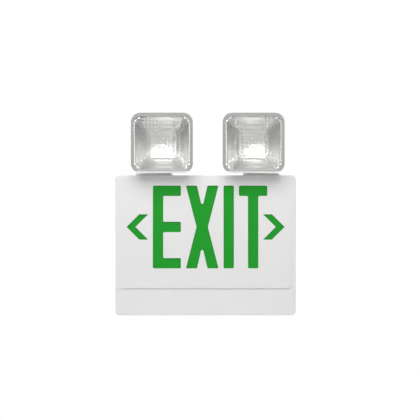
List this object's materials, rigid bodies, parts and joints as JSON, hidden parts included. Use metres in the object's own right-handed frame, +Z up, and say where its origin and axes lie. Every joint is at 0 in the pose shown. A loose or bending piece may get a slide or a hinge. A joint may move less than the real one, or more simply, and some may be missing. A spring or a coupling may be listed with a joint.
{
  "type": "emergency exit light",
  "caption": "Wall-hung exit sign with a green backlit stencil legend and chevrons, a battery inside and two square lamp heads that pan and tilt along its top edge",
  "frame": {"origin": "centre of the wall face of the back plate", "axes": "X to the right seen from the front, +Z up, +Y into the wall"},
  "size_m": [0.332, 0.098, 0.37],
  "materials": {
    "white_plastic": "fine",
    "green_plastic": "smooth",
    "clear_plastic": "prismatic",
    "silvered_plastic": "polished",
    "circuit_board": "satin",
    "white_board": "satin",
    "lamp_dome": "smooth",
    "core_steel": "laminated",
    "zinc_steel": "zinc plated",
    "black_plastic": "fine",
    "sleeve_plastic": "shrink sleeve",
    "sink_aluminium": "extruded",
    "red_lens": "smooth"
  },
  "bodies": {
    "housing": {"front_housing": "white_plastic", "back_plate": "white_plastic", "cover_screws": "zinc_steel", "legend_panel": "green_plastic", "light_box": "white_plastic", "light_box_screws": "zinc_steel", "upper_led_strip": "white_board", "lower_led_strip": "white_board", "upper_strip_leds": "lamp_dome", "lower_strip_leds": "lamp_dome", "control_board": "circuit_board", "board_screws": "zinc_steel", "transformer": "core_steel", "relay": "black_plastic", "capacitors": "black_plastic", "test_switch": "black_plastic", "status_led": "red_lens", "status_lens": "red_lens", "terminal_block": "black_plastic", "battery_pack": "sleeve_plastic", "left_battery_strap": "zinc_steel", "right_battery_strap": "zinc_steel", "strap_screws": "zinc_steel", "saddle_screws": "zinc_steel", "left_drum_saddle": "white_plastic", "right_drum_saddle": "white_plastic"},
    "left_tilter": {"left_tilt_drum": "white_plastic", "left_pan_washer": "white_plastic", "left_neck_clip": "zinc_steel"},
    "left_head": {"left_head_shell": "white_plastic", "left_reflector": "silvered_plastic", "left_lens": "clear_plastic", "left_heat_sink": "sink_aluminium", "left_lamp_board": "white_board", "left_lamp": "lamp_dome"},
    "right_tilter": {"right_tilt_drum": "white_plastic", "right_pan_washer": "white_plastic", "right_neck_clip": "zinc_steel"},
    "right_head": {"right_head_shell": "white_plastic", "right_reflector": "silvered_plastic", "right_lens": "clear_plastic", "right_heat_sink": "sink_aluminium", "right_lamp_board": "white_board", "right_lamp": "lamp_dome"},
    "button": {"test_button": "black_plastic"}
  },
  "joints": [
    {"name": "left_tilt", "type": "hinge", "parent": "housing", "child": "left_tilter", "pos_m": [-0.079, -0.0565, 0.1235], "axis": [1, 0, 0], "range_deg": [-12, 10]},
    {"name": "left_pan", "type": "hinge", "parent": "left_tilter", "child": "left_head", "pos_m": [-0.079, -0.0565, 0.14], "axis": [0, 0, 1], "range_deg": [-38, 38]},
    {"name": "right_tilt", "type": "hinge", "parent": "housing", "child": "right_tilter", "pos_m": [0.087, -0.0565, 0.1235], "axis": [1, 0, 0], "range_deg": [-12, 10]},
    {"name": "right_pan", "type": "hinge", "parent": "right_tilter", "child": "right_head", "pos_m": [0.087, -0.0565, 0.14], "axis": [0, 0, 1], "range_deg": [-38, 38]},
    {"name": "button_press", "type": "slide", "parent": "housing", "child": "button", "axis": [0, 0, 1], "range_m": [0, 0.0015], "stiffness_N_per_m": 400, "springref_m": -0.002}
  ]
}
